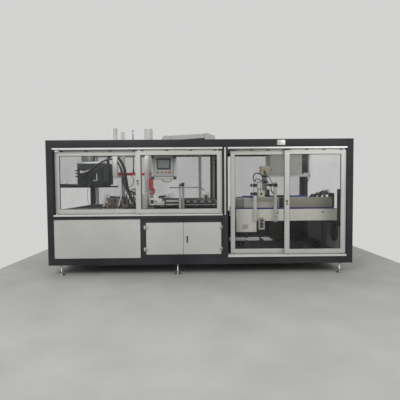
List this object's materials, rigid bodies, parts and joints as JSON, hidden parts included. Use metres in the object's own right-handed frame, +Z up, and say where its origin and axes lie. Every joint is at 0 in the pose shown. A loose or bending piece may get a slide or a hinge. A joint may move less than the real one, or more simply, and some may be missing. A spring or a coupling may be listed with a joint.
{
  "type": "case erector",
  "caption": "Framed case erector with sliding glazed doors, a control cabinet, a case magazine, a glue unit and a side-belt outfeed on levelling feet.",
  "frame": {"origin": "on the floor under the middle of the frame", "axes": "+X along the machine from the magazine to the outfeed, +Y from the front to the rear, +Z up"},
  "size_m": [4.9, 2.2, 2.59],
  "materials": {
    "charcoal_frame": "semi-matt paint",
    "grey_panel": "smooth powder coat",
    "door_profile": "light powder-coated profile",
    "track_profile": "satin anodised",
    "clear_pane": "clear sheet",
    "foot_steel": "plated steel",
    "black_trim": "moulded",
    "dark_machine": "dark paint",
    "light_machine": "light paint",
    "bare_metal": "machined",
    "red_machine": "red paint",
    "blue_belt": "belt"
  },
  "bodies": {
    "machine": {"left_end_frame": "charcoal_frame", "right_end_frame": "charcoal_frame", "middle_frame": "charcoal_frame", "top_frame": "charcoal_frame", "base_frame": "charcoal_frame", "machine_deck": "charcoal_frame", "foot_front_left": "foot_steel", "foot_front_middle": "foot_steel", "foot_front_right": "foot_steel", "foot_rear_left": "foot_steel", "foot_rear_middle": "foot_steel", "foot_rear_right": "foot_steel", "front_lower_panel": "grey_panel", "rear_lower_panel_left": "grey_panel", "rear_lower_panel_right": "grey_panel", "left_end_panel": "grey_panel", "right_end_panel": "grey_panel", "cabinet_housing": "charcoal_frame", "left_upper_track": "track_profile", "left_lower_track": "track_profile", "right_upper_track": "track_profile", "right_lower_track": "track_profile", "rear_left_window_frame": "door_profile", "rear_left_pane": "clear_pane", "rear_right_window_frame": "door_profile", "rear_right_pane": "clear_pane", "left_end_pane": "clear_pane", "glue_unit": "dark_machine", "glue_hose": "black_trim", "magazine_bed": "dark_machine", "left_lift_posts": "light_machine", "right_lift_posts": "light_machine", "red_cross_beam": "red_machine", "folding_arm": "red_machine", "operator_panel": "light_machine", "operator_panel_bracket": "light_machine", "case_bed": "bare_metal", "guide_posts": "bare_metal", "support_posts": "bare_metal", "outfeed_frame": "grey_panel", "outfeed_belt": "blue_belt", "side_belt_housing": "bare_metal", "junction_box": "grey_panel", "rear_side_belt": "blue_belt", "overhead_box": "grey_panel", "roof_duct": "light_machine"},
    "left_bay_front_door": {"left_bay_front_leaf": "door_profile", "left_bay_front_pane": "clear_pane"},
    "left_bay_rear_door": {"left_bay_rear_leaf": "door_profile", "left_bay_rear_pane": "clear_pane"},
    "right_bay_front_door": {"right_bay_front_leaf": "door_profile", "right_bay_front_pane": "clear_pane"},
    "right_bay_rear_door": {"right_bay_rear_leaf": "door_profile", "right_bay_rear_pane": "clear_pane"},
    "cabinet_left_door": {"cabinet_door_left": "grey_panel"},
    "cabinet_right_door": {"cabinet_door_right": "grey_panel", "cabinet_handle": "black_trim"}
  },
  "joints": [
    {"name": "left_bay_front_door_slide", "type": "slide", "parent": "machine", "child": "left_bay_front_door", "axis": [-1, 0, 0], "range_m": [0, 1.3]},
    {"name": "left_bay_rear_door_slide", "type": "slide", "parent": "machine", "child": "left_bay_rear_door", "axis": [1, 0, 0], "range_m": [0, 1.29]},
    {"name": "right_bay_front_door_slide", "type": "slide", "parent": "machine", "child": "right_bay_front_door", "axis": [-1, 0, 0], "range_m": [0, 0.91]},
    {"name": "right_bay_rear_door_slide", "type": "slide", "parent": "machine", "child": "right_bay_rear_door", "axis": [1, 0, 0], "range_m": [-0.045, 0.9]},
    {"name": "cabinet_left_hinge", "type": "hinge", "parent": "machine", "child": "cabinet_left_door", "pos_m": [-0.886, -1.091, 0.588], "axis": [0, 0, -1], "range_deg": [0, 105]},
    {"name": "cabinet_right_hinge", "type": "hinge", "parent": "machine", "child": "cabinet_right_door", "pos_m": [0.332, -1.091, 0.588], "axis": [0, 0, 1], "range_deg": [0, 105]}
  ]
}
